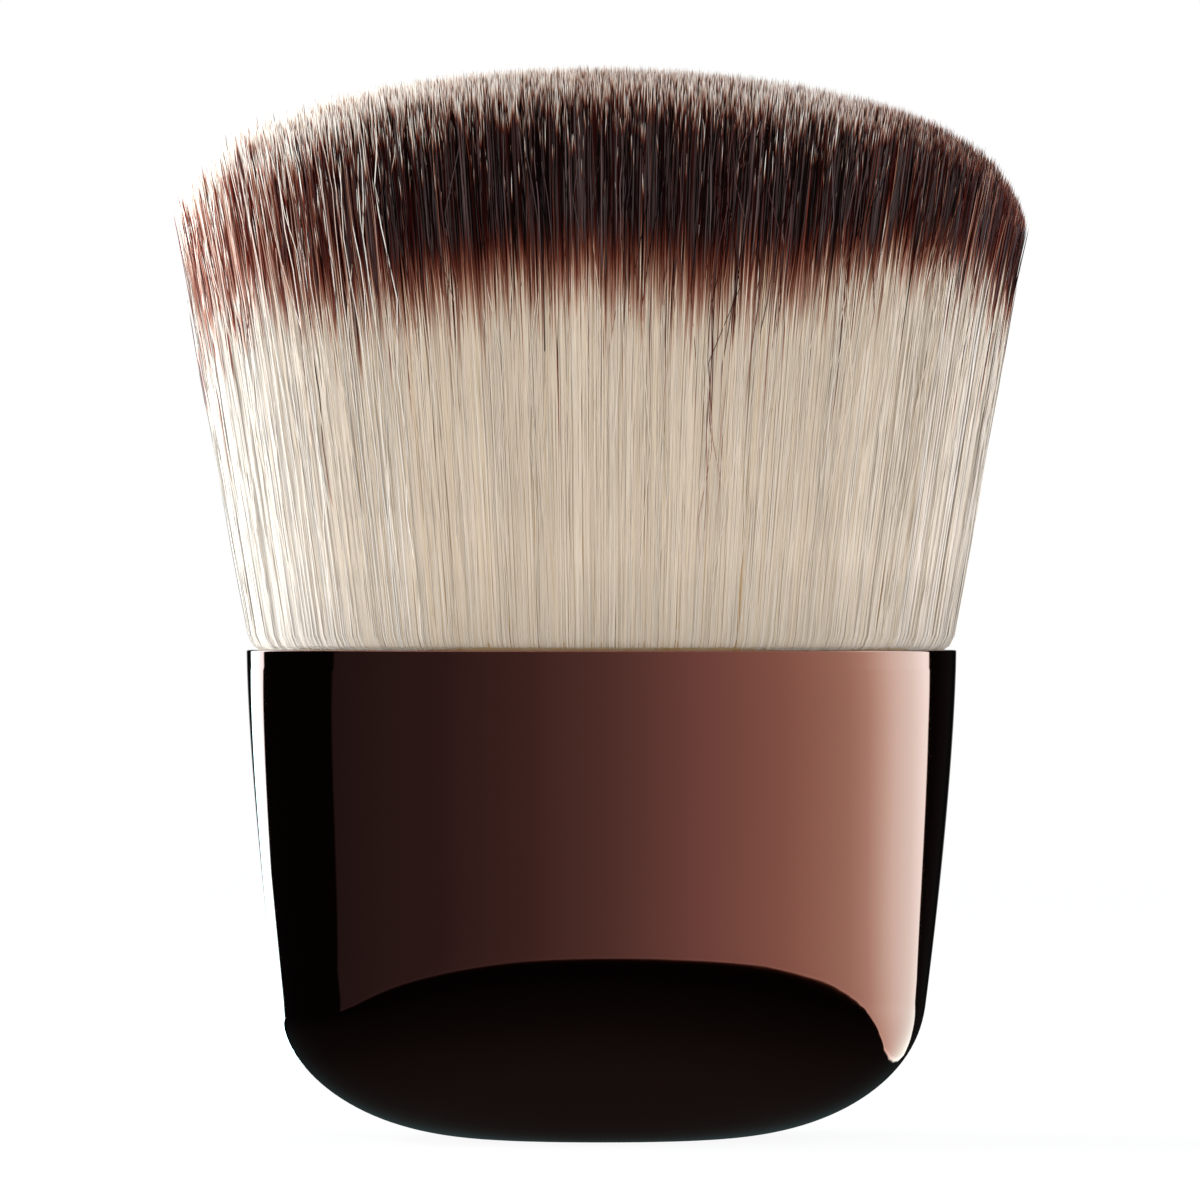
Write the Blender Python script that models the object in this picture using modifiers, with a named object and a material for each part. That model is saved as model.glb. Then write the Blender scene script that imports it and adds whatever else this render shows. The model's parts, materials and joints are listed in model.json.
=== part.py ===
"""A flat oval powder brush: a drawn metal handle with a weight inside, and a flared, domed tuft.

Metres, +Z up. The origin is the centre of the foot that the brush stands on, +X runs across the
wide face and the front face looks along -Y. Every inner piece follows the handle's own oval at its
height, moved in by the walls and clearances between the two.
"""

import math

import bmesh
import bpy

# Handle, a shell that is open at the top
HANDLE_HEIGHT = 0.0363
RIM_HALF_WIDTH = 0.0264
RIM_HALF_DEPTH = 0.0136
HANDLE_WALL = 0.0007
SIDE_TAPER = 0.0037
FACE_TAPER = 0.0009
SIDE_ROLL_HEIGHT = 0.0100
SIDE_ROLL_RUN = 0.0155
FACE_ROLL_HEIGHT = 0.0160
FACE_ROLL_RUN = 0.0074
LIP_BEVEL = 0.00012

# Clearances: FIT_GAP between walls, SEAT_GAP under a piece that rests on another
FIT_GAP = 0.0003
SEAT_GAP = 0.0003
CUT_OVERRUN = 0.0010

# Steel weight and the moulded insert that is pegged onto it
WEIGHT_HEIGHT = 0.0090
INSERT_WALL = 0.0008
INSERT_LIP_RISE = 0.0020
PEG_RADIUS = 0.0016
PEG_LENGTH = 0.0055
PEG_SPACING = 0.0200

# Drawn cup that the roots of the tuft are potted in, and the thread band round its plug
CUP_WALL = 0.0004
CUP_RECESS = 0.0030
RESIN_HEIGHT = 0.0054
ROOT_HEIGHT = 0.0025
BAND_THICKNESS = 0.0007
BAND_HEIGHT = 0.0024
LAP_GROOVE = 0.0002

# Tuft, measured upwards from the handle's rim
HAIR_AT_ENDS = 0.0333
FACE_ARCH = 0.0040
DOME_RISE = 0.0060
SHOULDER_DROP = 0.0020
CORNER_DROP = 0.0020
CROWN_HALF_WIDTH = 0.0321
CROWN_HALF_DEPTH = 0.0172
STRAND_PITCH = 0.00142
STRAND_TIP = 0.0042
STRAND_ROOT_EMBED = 0.0008
LENGTH_SPREAD = 0.0008

# Shapes and shares, which have no length
OVAL_POWER = 2.2
TAPER_POWER = 1.5
ROLL_POWER = 2.2
DOME_POWER = 0.4
SHOULDER_POWER = 1.5
CORNER_POWER = 5.0
LEAST_SPAN_SHARE = 0.000001
STRAND_WIDTH_SHARE = 0.90
STRAND_THICK_SHARE = 0.86
GOLDEN_SHARE = 0.6180339887
LEAST_ROLL_SHARE = 0.05
DYE_SHARES = (0.60, 0.68, 0.76, 0.90, 0.97)
SHARP_DEGREES = 35.0
LIP_DEGREES = 60.0

# Counts
STRAND_RINGS = 10
LAPS = 3
SHELL_POINTS = 64
INNER_POINTS = 48
ROLL_STEPS = 9
WALL_STEPS = 3
PEG_POINTS = 16
ARC_STEPS = 720

# Heights of the stack inside the handle, from the foot up
WEIGHT_BOTTOM = HANDLE_WALL + SEAT_GAP
WEIGHT_TOP = WEIGHT_BOTTOM + WEIGHT_HEIGHT
INSERT_BOTTOM = WEIGHT_TOP + SEAT_GAP
CUP_BOTTOM = INSERT_BOTTOM + INSERT_WALL + SEAT_GAP
RESIN_BOTTOM = CUP_BOTTOM + CUP_WALL + SEAT_GAP
RESIN_TOP = RESIN_BOTTOM + RESIN_HEIGHT
BAND_BOTTOM = 0.5 * (RESIN_BOTTOM + RESIN_TOP - BAND_HEIGHT)
BAND_TOP = BAND_BOTTOM + BAND_HEIGHT
ROOT_BOTTOM = RESIN_TOP + SEAT_GAP
ROOT_TOP = ROOT_BOTTOM + ROOT_HEIGHT
INSERT_TOP = ROOT_TOP + INSERT_LIP_RISE
CUP_SHOULDER = INSERT_TOP + SEAT_GAP
CUP_TOP = HANDLE_HEIGHT - CUP_RECESS
CROWN_EDGE = HANDLE_HEIGHT + HAIR_AT_ENDS
CROWN_TOP = CROWN_EDGE + FACE_ARCH + DOME_RISE
CROWN_HALVES = (CROWN_HALF_WIDTH, CROWN_HALF_DEPTH)

# Insets of the stack, from the handle's outside in
LINER_INSET = HANDLE_WALL + FIT_GAP
CUP_INSET = LINER_INSET + INSERT_WALL + FIT_GAP
RESIN_INSET = CUP_INSET + CUP_WALL + FIT_GAP
BAND_BORE_INSET = RESIN_INSET + BAND_THICKNESS
GROOVE_INSET = BAND_BORE_INSET + FIT_GAP


def clear_scene():
    for item in list(bpy.data.objects):
        bpy.data.objects.remove(item, do_unlink=True)


def new_collection(name):
    made = bpy.data.collections.new(name)
    bpy.context.scene.collection.children.link(made)
    return made


def finish_of(name, colour, roughness, metallic=0.0):
    """A plain Principled material."""
    made = bpy.data.materials.new(name)
    made.use_nodes = True
    shader = made.node_tree.nodes["Principled BSDF"]
    shader.inputs["Base Color"].default_value = (*colour, 1.0)
    shader.inputs["Roughness"].default_value = roughness
    shader.inputs["Metallic"].default_value = metallic
    made.diffuse_color = (*colour, 1.0)
    return made


def dipped_hair():
    """Cream filament with a dark dyed band under its pale tips, by height above the rim."""
    cream = (0.62, 0.52, 0.41)
    russet = (0.16, 0.07, 0.05)
    umber = (0.02, 0.01, 0.01)
    pale = (0.70, 0.62, 0.52)
    made = finish_of("dipped_hair", cream, 0.45)
    tree = made.node_tree
    place = tree.nodes.new("ShaderNodeTexCoord")
    axes = tree.nodes.new("ShaderNodeSeparateXYZ")
    height = tree.nodes.new("ShaderNodeMapRange")
    height.inputs["From Min"].default_value = HANDLE_HEIGHT
    height.inputs["From Max"].default_value = CROWN_TOP
    ramp = tree.nodes.new("ShaderNodeValToRGB")
    stops = ramp.color_ramp.elements
    while len(stops) < len(DYE_SHARES):
        stops.new(1.0)
    for stop, share, colour in zip(stops, DYE_SHARES, (cream, russet, umber, umber, pale)):
        stop.position = share
        stop.color = (*colour, 1.0)
    tree.links.new(place.outputs["Object"], axes.inputs["Vector"])
    tree.links.new(axes.outputs["Z"], height.inputs["Value"])
    tree.links.new(height.outputs["Result"], ramp.inputs["Fac"])
    tree.links.new(ramp.outputs["Color"], tree.nodes["Principled BSDF"].inputs["Base Color"])
    return made


def roll(height, roll_height):
    """Share of the roll's run still to come at a height: 1 at the foot, 0 where the wall starts."""
    left = 1.0 - height / roll_height if height < roll_height else 0.0
    return 1.0 - (1.0 - left**ROLL_POWER) ** (1.0 / ROLL_POWER)


def on_oval(angle):
    """The point of the unit oval at an angle, a superellipse a little squarer than an ellipse."""
    across, out = math.cos(angle), math.sin(angle)
    return (
        math.copysign(abs(across) ** (2.0 / OVAL_POWER), across),
        math.copysign(abs(out) ** (2.0 / OVAL_POWER), out),
    )


def handle_point(angle, height, inset):
    """A point inside the handle's outside, moved in, and up, by an inset. The faces roll in over
    less height where the handle is thinner, so the roll dies away towards both ends."""
    across, out = on_oval(angle)
    height = max(0.0, height - inset)
    down = max(0.0, 1.0 - height / HANDLE_HEIGHT) ** TAPER_POWER
    side_roll = SIDE_ROLL_RUN * roll(height, SIDE_ROLL_HEIGHT)
    face_roll = FACE_ROLL_RUN * roll(height, FACE_ROLL_HEIGHT * max(abs(out), LEAST_ROLL_SHARE))
    side = RIM_HALF_WIDTH - SIDE_TAPER * down - side_roll - inset
    face = RIM_HALF_DEPTH - FACE_TAPER * down - face_roll - inset
    return side * across, face * out


def handle_halves(height, inset=0.0):
    """The handle's half-width and half-depth at a height, moved in by an inset."""
    end = handle_point(0.0, height, inset)
    front = handle_point(0.5 * math.pi, height, inset)
    return end[0], front[1]


def turns_of(points):
    return [2.0 * math.pi * i / points for i in range(points)]


def handle_rings(heights, inset=0.0, points=INNER_POINTS):
    """Sections that follow the handle at their own heights, anticlockwise seen from above."""
    return [[(*handle_point(turn, z, inset), z) for turn in turns_of(points)] for z in heights]


def oval_ring(halves, height):
    """One closed plain oval section, anticlockwise seen from above."""
    places = [on_oval(turn) for turn in turns_of(INNER_POINTS)]
    return [(halves[0] * x, halves[1] * y, height) for x, y in places]


def steps_between(low, high, count=WALL_STEPS):
    return [low + (high - low) * i / count for i in range(count + 1)]


def rolled_heights(rise):
    """Heights from 0 to a rise, close together at the foot, where the walls roll in."""
    return [rise * (1.0 - math.cos(0.5 * math.pi * i / ROLL_STEPS)) for i in range(ROLL_STEPS + 1)]


def add_mesh(name, mesh, collection, material):
    made = bpy.data.objects.new(name, mesh)
    collection.objects.link(made)
    if material:
        mesh.materials.append(material)
    mesh.shade_smooth()
    mesh.set_sharp_from_angle(angle=math.radians(SHARP_DEGREES))
    return made


def loft(name, rings, collection, material=None, capped=True):
    """Skins sections from the lowest up. The foot is closed, and the top too if it is capped."""
    bm = bmesh.new()
    loops = [[bm.verts.new(place) for place in ring] for ring in rings]
    for low, high in zip(loops, loops[1:]):
        for i in range(len(low)):
            j = (i + 1) % len(low)
            bm.faces.new((low[i], low[j], high[j], high[i]))
    bm.faces.new(list(reversed(loops[0])))
    if capped:
        bm.faces.new(loops[-1])
    mesh = bpy.data.meshes.new(name)
    bm.to_mesh(mesh)
    bm.free()
    return add_mesh(name, mesh, collection, material)


def thicken(item, wall):
    """Gives an open skin its wall, on the inside."""
    solid = item.modifiers.new("wall", "SOLIDIFY")
    solid.thickness = wall
    solid.offset = -1.0
    solid.use_even_offset = True
    solid.use_quality_normals = True


def boolean(item, other, operation, solver="EXACT"):
    cut = item.modifiers.new(operation.lower(), "BOOLEAN")
    cut.operation = operation
    cut.solver = solver
    cut.object = other
    other.hide_render = True
    other.display_type = "WIRE"


def handle_shell(parts, material):
    """The drawn cup with its softened lip."""
    roll_top = max(SIDE_ROLL_HEIGHT, FACE_ROLL_HEIGHT)
    heights = rolled_heights(roll_top)[:-1] + steps_between(roll_top, HANDLE_HEIGHT)
    rings = handle_rings(heights, points=SHELL_POINTS)
    shell = loft("handle_shell", rings, parts, material, capped=False)
    thicken(shell, HANDLE_WALL)
    lip = shell.modifiers.new("lip", "BEVEL")
    lip.width = LIP_BEVEL
    lip.segments = 1
    lip.limit_method = "ANGLE"
    lip.angle_limit = math.radians(LIP_DEGREES)
    return shell


def add_cylinder(name, radius, low, high, across, collection):
    bpy.ops.mesh.primitive_cylinder_add(
        vertices=PEG_POINTS,
        radius=radius,
        depth=high - low,
        location=(across, 0.0, 0.5 * (low + high)),
    )
    made = bpy.context.object
    made.name = name
    for holder in list(made.users_collection):
        holder.objects.unlink(made)
    collection.objects.link(made)
    return made


def peg_places():
    return (-0.5 * PEG_SPACING, 0.5 * PEG_SPACING)


def weight_block(parts, helpers, material):
    """A steel slug that fills the foot of the shell, with a blind hole for each peg."""
    heights = [WEIGHT_BOTTOM + rise for rise in rolled_heights(WEIGHT_HEIGHT)]
    block = loft("weight_block", handle_rings(heights, WEIGHT_BOTTOM), parts, material)
    hole_floor = INSERT_BOTTOM - PEG_LENGTH - SEAT_GAP
    for number, across in enumerate(peg_places()):
        name = f"peg_hole_{number}"
        radius = PEG_RADIUS + FIT_GAP
        hole = add_cylinder(name, radius, hole_floor, WEIGHT_TOP + CUT_OVERRUN, across, helpers)
        boolean(block, hole, "DIFFERENCE")
    return block


def insert_core(parts, helpers, material):
    """The moulded liner: a cup over the weight, with two pegs under its floor."""
    rings = handle_rings(steps_between(INSERT_BOTTOM, INSERT_TOP), LINER_INSET)
    core = loft("insert_core", rings, parts, material, capped=False)
    thicken(core, INSERT_WALL)
    peg_top = INSERT_BOTTOM + 0.5 * INSERT_WALL
    for number, across in enumerate(peg_places()):
        low = INSERT_BOTTOM - PEG_LENGTH
        peg = add_cylinder(f"peg_{number}", PEG_RADIUS, low, peg_top, across, helpers)
        boolean(core, peg, "UNION")
    return core


def tuft_cup(parts, material):
    """The drawn cup: a narrow foot in the insert, a shoulder on its lip and a wide mouth above."""
    rings = handle_rings(steps_between(CUP_BOTTOM, CUP_SHOULDER), CUP_INSET)
    rings += handle_rings(steps_between(CUP_SHOULDER, CUP_TOP), LINER_INSET)
    cup = loft("tuft_cup", rings, parts, material, capped=False)
    thicken(cup, CUP_WALL)
    return cup


def resin_plug(parts, material):
    """The potting in the cup's foot, with the groove that the thread band lies in."""
    groove_low = BAND_BOTTOM - SEAT_GAP
    groove_high = BAND_TOP + SEAT_GAP
    rings = handle_rings((RESIN_BOTTOM, groove_low), RESIN_INSET)
    rings += handle_rings((groove_low, groove_high), GROOVE_INSET)
    rings += handle_rings((groove_high, RESIN_TOP), RESIN_INSET)
    return loft("resin_plug", rings, parts, material)


def binding_band(parts, helpers, material):
    """The thread band round the plug, with a shallow groove above and below each lap."""
    lap = BAND_HEIGHT / LAPS
    rings = []
    for number in range(LAPS):
        low = BAND_BOTTOM + lap * number
        rings += handle_rings((low,), RESIN_INSET + LAP_GROOVE)
        rings += handle_rings((low + LAP_GROOVE, low + lap - LAP_GROOVE), RESIN_INSET)
    rings += handle_rings((BAND_TOP,), RESIN_INSET + LAP_GROOVE)
    band = loft("binding_band", rings, parts, material)
    bore_rings = handle_rings((BAND_BOTTOM - CUT_OVERRUN, BAND_TOP + CUT_OVERRUN), BAND_BORE_INSET)
    boolean(band, loft("band_bore", bore_rings, helpers), "DIFFERENCE")
    return band


def root_oval():
    """The roots' oval: no wider than the plug, and such that the hair clears the cup's mouth."""
    plug = handle_halves(ROOT_BOTTOM, RESIN_INSET)
    mouth = handle_halves(CUP_TOP, LINER_INSET + CUP_WALL + FIT_GAP)
    share = (CUP_TOP - ROOT_TOP) / (CROWN_EDGE - ROOT_TOP)
    return [min(p, (m - c * share) / (1.0 - share)) for p, m, c in zip(plug, mouth, CROWN_HALVES)]


def tuft_halves(height):
    """Half-width and half-depth of the tuft at a height: one straight flare from root to crown."""
    share = max(0.0, (height - ROOT_TOP) / (CROWN_EDGE - ROOT_TOP))
    return [r + (c - r) * share for r, c in zip(root_oval(), CROWN_HALVES)]


def crown_height(across, out):
    """Where the strand at this place of the unit oval ends: an arch, lower at its front and back
    and rounded off at its two ends."""
    side = min(1.0, abs(across) ** OVAL_POWER)
    rise = (1.0 - side) ** DOME_POWER
    edge = min(1.0, abs(out) ** OVAL_POWER / max(1.0 - side, LEAST_SPAN_SHARE))
    drop = SHOULDER_DROP * rise * edge**SHOULDER_POWER + CORNER_DROP * side**CORNER_POWER
    return CROWN_EDGE + FACE_ARCH * (1.0 - across**2) + DOME_RISE * rise - drop


def even_angles(count, halves):
    """Angles that part an oval into equal lengths, the first half a step from the end."""
    angles = [2.0 * math.pi * i / ARC_STEPS for i in range(ARC_STEPS + 1)]
    places = [[h * p for h, p in zip(halves, on_oval(angle))] for angle in angles]
    run = [0.0]
    for here, there in zip(places, places[1:]):
        run.append(run[-1] + math.dist(here, there))
    found = []
    at = 0
    for i in range(count):
        wanted = run[-1] * (i + 0.5) / count
        while run[at + 1] < wanted:
            at += 1
        inside = (wanted - run[at]) / (run[at + 1] - run[at])
        found.append(angles[at] + (angles[at + 1] - angles[at]) * inside)
    return found, run[-1]


def strand_cells():
    """The unit oval as rings of cells, one a strand: inner and outer share, and three angles."""
    rim = tuft_halves(HANDLE_HEIGHT)
    whole = even_angles(1, rim)[1]
    reach = 0.5 * STRAND_THICK_SHARE / STRAND_RINGS
    cells = []
    for ring in range(STRAND_RINGS):
        middle = (ring + 0.5) / STRAND_RINGS
        count = 2 * max(2, round(0.5 * whole * middle / STRAND_PITCH))
        angles = even_angles(count, rim)[0]
        last = angles[-1] - 2.0 * math.pi
        first = angles[0] + 2.0 * math.pi
        around = zip([last] + angles[:-1], angles, angles[1:] + [first])
        for before, angle, after in around:
            low = angle - 0.5 * STRAND_WIDTH_SHARE * (angle - before)
            high = angle + 0.5 * STRAND_WIDTH_SHARE * (after - angle)
            cells.append((middle - reach, middle + reach, low, angle, high))
    return cells


def add_strand(bm, cell, spread):
    """One straight three-sided strand with a ridge outwards, from its root to its pointed tip."""
    inner, outer, low, middle, high = cell
    corners = ((outer, middle), (inner, high), (inner, low))
    axis = [0.5 * (inner + outer) * p for p in on_oval(middle)]
    tip_height = crown_height(*axis) + spread
    loops = []
    for height in (ROOT_TOP - STRAND_ROOT_EMBED, tip_height - STRAND_TIP):
        halves = tuft_halves(height)
        places = [[share * h * p for h, p in zip(halves, on_oval(turn))] for share, turn in corners]
        loops.append([bm.verts.new((x, y, height)) for x, y in places])
    tip = bm.verts.new((*(h * p for h, p in zip(tuft_halves(tip_height), axis)), tip_height))
    root, shoulder = loops
    bm.faces.new(list(reversed(root)))
    for i, j in ((0, 1), (1, 2), (2, 0)):
        bm.faces.new((root[i], root[j], shoulder[j], shoulder[i]))
        bm.faces.new((shoulder[i], shoulder[j], tip))


def bristle_tuft(parts, helpers, material):
    """All strands, fused to the slice of resin that holds their roots."""
    bm = bmesh.new()
    for number, cell in enumerate(strand_cells()):
        add_strand(bm, cell, LENGTH_SPREAD * ((number * GOLDEN_SHARE) % 1.0 - 0.5))
    mesh = bpy.data.meshes.new("strands")
    bm.to_mesh(mesh)
    bm.free()
    strands = add_mesh("strands", mesh, helpers, material)
    slice_rings = [oval_ring(root_oval(), z) for z in (ROOT_BOTTOM, ROOT_TOP)]
    tuft = loft("bristle_tuft", slice_rings, parts, material)
    boolean(tuft, strands, "UNION", solver="MANIFOLD")
    return tuft


def main():
    clear_scene()
    parts = new_collection("powder_brush")
    helpers = new_collection("cutters")
    lacquer = finish_of("brown_metal_lacquer", (0.15, 0.055, 0.042), 0.06, 0.9)
    steel = finish_of("zinc_plated_steel", (0.42, 0.42, 0.43), 0.35, 1.0)
    moulding = finish_of("black_moulding", (0.03, 0.03, 0.03), 0.5)
    aluminium = finish_of("drawn_aluminium", (0.75, 0.75, 0.76), 0.3, 1.0)
    resin = finish_of("potting_resin", (0.70, 0.55, 0.30), 0.2)
    thread = finish_of("binding_thread", (0.80, 0.78, 0.72), 0.8)
    handle_shell(parts, lacquer)
    weight_block(parts, helpers, steel)
    insert_core(parts, helpers, moulding)
    tuft_cup(parts, aluminium)
    resin_plug(parts, resin)
    binding_band(parts, helpers, thread)
    bristle_tuft(parts, helpers, dipped_hair())


main()
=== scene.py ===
import json
import math
from collections import namedtuple

import bpy
import numpy as np
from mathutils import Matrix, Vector

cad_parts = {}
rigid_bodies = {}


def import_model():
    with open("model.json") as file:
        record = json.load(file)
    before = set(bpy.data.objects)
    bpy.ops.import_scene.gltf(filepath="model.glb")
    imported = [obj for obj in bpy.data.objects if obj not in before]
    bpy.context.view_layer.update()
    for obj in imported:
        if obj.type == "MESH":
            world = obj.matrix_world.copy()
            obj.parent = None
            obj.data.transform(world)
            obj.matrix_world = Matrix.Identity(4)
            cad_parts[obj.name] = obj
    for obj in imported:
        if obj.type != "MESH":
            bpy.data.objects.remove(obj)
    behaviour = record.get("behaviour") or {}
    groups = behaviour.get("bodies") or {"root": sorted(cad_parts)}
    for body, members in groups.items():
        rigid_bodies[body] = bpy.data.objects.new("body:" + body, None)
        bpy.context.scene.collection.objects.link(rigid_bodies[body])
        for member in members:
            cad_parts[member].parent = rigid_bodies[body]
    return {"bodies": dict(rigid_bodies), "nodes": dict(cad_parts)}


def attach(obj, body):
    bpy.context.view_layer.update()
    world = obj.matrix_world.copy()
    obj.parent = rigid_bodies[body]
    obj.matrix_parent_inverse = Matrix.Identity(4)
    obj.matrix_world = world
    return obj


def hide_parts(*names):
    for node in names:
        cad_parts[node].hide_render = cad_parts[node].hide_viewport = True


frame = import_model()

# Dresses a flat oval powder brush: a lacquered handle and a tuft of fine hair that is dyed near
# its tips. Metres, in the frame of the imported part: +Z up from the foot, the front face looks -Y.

# The photograph's frame: a level camera in front of the wide face
FRAME_PIXELS = 1200
PIXELS_PER_METRE = 13440
EYE = (-0.00011, -0.6, 0.0400)
SENSOR_MM = 36.0
CLIP_START = 0.05
CLIP_END = 20.0

# Handle, the same oval as the part's own shell
HANDLE_HEIGHT = 0.0363
RIM_HALF_WIDTH = 0.0264
RIM_HALF_DEPTH = 0.0136
HANDLE_WALL = 0.0007
SIDE_TAPER = 0.0037
FACE_TAPER = 0.0009
SIDE_ROLL_HEIGHT = 0.0100
SIDE_ROLL_RUN = 0.0155
FACE_ROLL_HEIGHT = 0.0160
FACE_ROLL_RUN = 0.0074
LIP_RADIUS = 0.00014
OVAL_POWER = 2.2
TAPER_POWER = 1.5
ROLL_POWER = 2.2
LEAST_ROLL_SHARE = 0.05
HANDLE_COLUMNS = 320
ROLL_ROWS = 44
WALL_ROWS = 16
LIP_ROWS = 5
HANDLE_CHART_ROWS = (0.02, 0.98)

# Tuft, the part's flare and crown, and how far the hair fills out above the handle's mouth
ROOT_BOTTOM = 0.0178
ROOT_TOP = 0.0203
ROOT_HALVES = (0.0219, 0.0099)
CROWN_EDGE = 0.0696
CROWN_HALVES = (0.0321, 0.0172)
FACE_ARCH = 0.0040
DOME_RISE = 0.0060
DOME_POWER = 0.4
SHOULDER_DROP = 0.0020
SHOULDER_POWER = 1.5
CORNER_DROP = 0.0020
CORNER_POWER = 5.0
EDGE_SIDES = (-0.0310, -0.0290, -0.0260, -0.0220, 0.0220, 0.0250, 0.0275, 0.0310)
EDGE_DROPS = (-0.0002, 0.0007, -0.0004, -0.0001, 0.0001, 0.0003, 0.0004, 0.0007)
FILL_HEIGHTS = (0.0333, 0.0363, 0.0366, 0.0374, 0.0640)
FILL_RUNS = (0.0, 0.00042, 0.00080, 0.0010, 0.0)

# Hair: how many strands of each kind, and where on the oval they stand. Shell strands start at the
# mouth, crown strands near their tips, and loose ones lie outside. A few are dyed far down, and a
# few stay pale.
SHELL_STRANDS = 14000
SHELL_SHARES = (0.968, 0.990)
CROWN_STRANDS = 44000
LOOSE_STRANDS = 1500
LOOSE_SHARES = (0.985, 0.992)
DARK_STRANDS = 13
DARK_ACROSS = (0.22, 0.42)
PALE_STRANDS = 34
PALE_ACROSS = (-0.95, -0.48)

# Each kind's shape: whether its strands start at the mouth, the reach of their own waves, how far
# they lean and stand proud, their share of the usual thickness, and how far short ones fall short
Shape = namedtuple("Shape", "full_length wander lean proud thick_share tail")
SHELL_SHAPE = Shape(True, 0.00007, 0.00016, 0.00001, 1.00, 0.0020)
CROWN_SHAPE = Shape(False, 0.00010, 0.00016, 0.00001, 1.10, 0.00040)
LOOSE_SHAPE = Shape(True, 0.00020, 0.00040, 0.00008, 0.70, 0.0024)
DARK_SHAPE = Shape(True, 0.00050, 0.00060, 0.00012, 0.75, 0.0020)
PALE_SHAPE = Shape(True, 0.00034, 0.00022, 0.00012, 0.80, 0.0030)

# Each kind's dye: its tone and that tone's spread, how many times as often a strand is bare as
# usual there, and how far down and how deeply it is dyed where its place doesn't say
Dye = namedtuple("Dye", "tone tone_spread bare_times reach depths", defaults=(1.0, None, None))
# Shell strands further in take a lower tone, a darker golden cream: painted shade where they show
# between the outer strands
SHELL_SHADE_TONES = (0.10, 0.52)
SHELL_SHADE_TONES_BETWEEN = (SHELL_SHARES[0], 0.980)
SHELL_TONE_SPREAD = 0.10
CROWN_DYE = Dye(0.24, 0.12)
LOOSE_DYE = Dye(0.46, 0.12, bare_times=2.0)
DARK_DYE = Dye(0.62, 0.10, bare_times=0.0, reach=(0.018, 0.027))
PALE_DYE = Dye(1.00, 0.05, depths=(0.0, 0.2))
# The core's low tone, a dark golden cream, is painted shade where it shows between strands
CORE_DYE_AND_SHADE = Dye(0.06, 0.05)

# Where along its length a strand has a ring, by height near the mouth and by depth below its tip
MOUTH_HEIGHTS = (0.0336, 0.0363, 0.0366, 0.0374)
MIDDLE_HEIGHT = 0.0410
MIDDLE_RINGS = 5
SHELL_DEPTHS = (0.0080, 0.0052, 0.0030, 0.0016, 0.0007, 0.0)
CROWN_DEPTHS = (0.0105, 0.0066, 0.0036, 0.0018, 0.0008, 0.0)

# How thick a strand is, how it thins towards its tip, and how far short it may fall
STRAND_RADII = (0.000042, 0.000056)
TAPER_DEPTHS = (0.0, 0.0006, 0.0018, 0.0044)
TAPER_SHARES = (0.24, 0.62, 0.88, 1.0)
SHORT_SPREAD = 0.00042
MOST_SHORT = 0.0100

# Neighbours drift sideways together, by waves of these lengths, and less in depth than across
DRIFT_LENGTHS = (0.0014, 0.0070)
DRIFT_REACH = 0.00020
DRIFT_WAVES = 16
DRIFT_DEPTH_SHARE = 0.6

# Each strand has a slow wave and a quicker one of its own: their least and most length and share
OWN_WAVES = ((0.014, 0.030, 1.0), (0.006, 0.012, 0.35))
OWN_DEPTH_SHARE = 0.35

# Strands at the two ends of the oval keep closer to their places than those in its middle
KEPT_END_SHARE = 0.75
KEPT_END_POWER = 6

# The tuft is made as this many pieces of each kind, side by side round the oval
SECTORS = 12

# The hair's map holds the dye by distance from the tip. A column of it stands for one depth of dye
# and one tone, and a strand's faces lie at these shares of their column.
DYE_SPAN = 0.0800
DYE_OFFSET = 0.0040
DYE_COLUMNS = 256
DYE_CLASSES = 16
DARK_FROM = 0.0016
DARK_UNTIL = 0.0085
COLUMN_SHARES = (0.25, 0.50, 0.75)

# The dyed band by place across the tuft: where its dark part starts and ends below the tips, how
# many strands are bare and how deeply those are dyed, how much is added to a strand's tone, and
# the share of its kind's own by which a short one falls short
DYE_SIDES = (-0.0310, -0.0280, -0.0220, -0.0150, -0.0075, 0.0, 0.0075, 0.0150, 0.0220, 0.0275)
DARK_STARTS = (0.0019, 0.0017, 0.0020, 0.0017, 0.0014, 0.0012, 0.0013, 0.0014, 0.0008, 0.0006)
DARK_ENDS = (0.0090, 0.0099, 0.0125, 0.0139, 0.0137, 0.0134, 0.0141, 0.0126, 0.0096, 0.0073)
BARE_SHARES = (0.90, 0.80, 0.36, 0.04, 0.02, 0.02, 0.02, 0.02, 0.10, 0.14)
BARE_DEPTHS = (0.38, 0.40, 0.46, 0.60, 0.60, 0.60, 0.60, 0.60, 0.56, 0.52)
SIDE_TONES = (0.48, 0.42, 0.16, 0.02, 0.0, 0.0, 0.0, 0.0, 0.03, 0.08)
TAIL_SHARES = (2.4, 2.1, 1.5, 1.0, 0.8, 0.8, 0.8, 0.8, 0.8, 0.8)

# How strands differ there: where their dye starts and ends, how much of the length that a short
# one lacks its dark part lacks too, and how many are fainter, bare or dyed further down
START_SPREAD_SHARE = 0.42
END_SPREAD = 0.0012
HELD_SHARE = 0.8
LEAST_DARK_LENGTH = 0.0025
FAINT_SHARE = 0.40
FAINT_FROM = 0.965
FAINT_SPREAD = 0.060
BARE_SPREAD = 0.34
TRAILING_SHARE = 0.09
TRAILING_REACH = 0.0026

# How much of a strand's own roundness shades it, the rest being the way the tuft faces there
ROUND_SHARE = 0.10

# How far the tuft's surface faces up, against 1 outward, by depth below a strand's tip
RISE_DEPTHS = (0.0, 0.0009, 0.0040)
RISES = (1.5, 0.38, -0.16)

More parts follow.
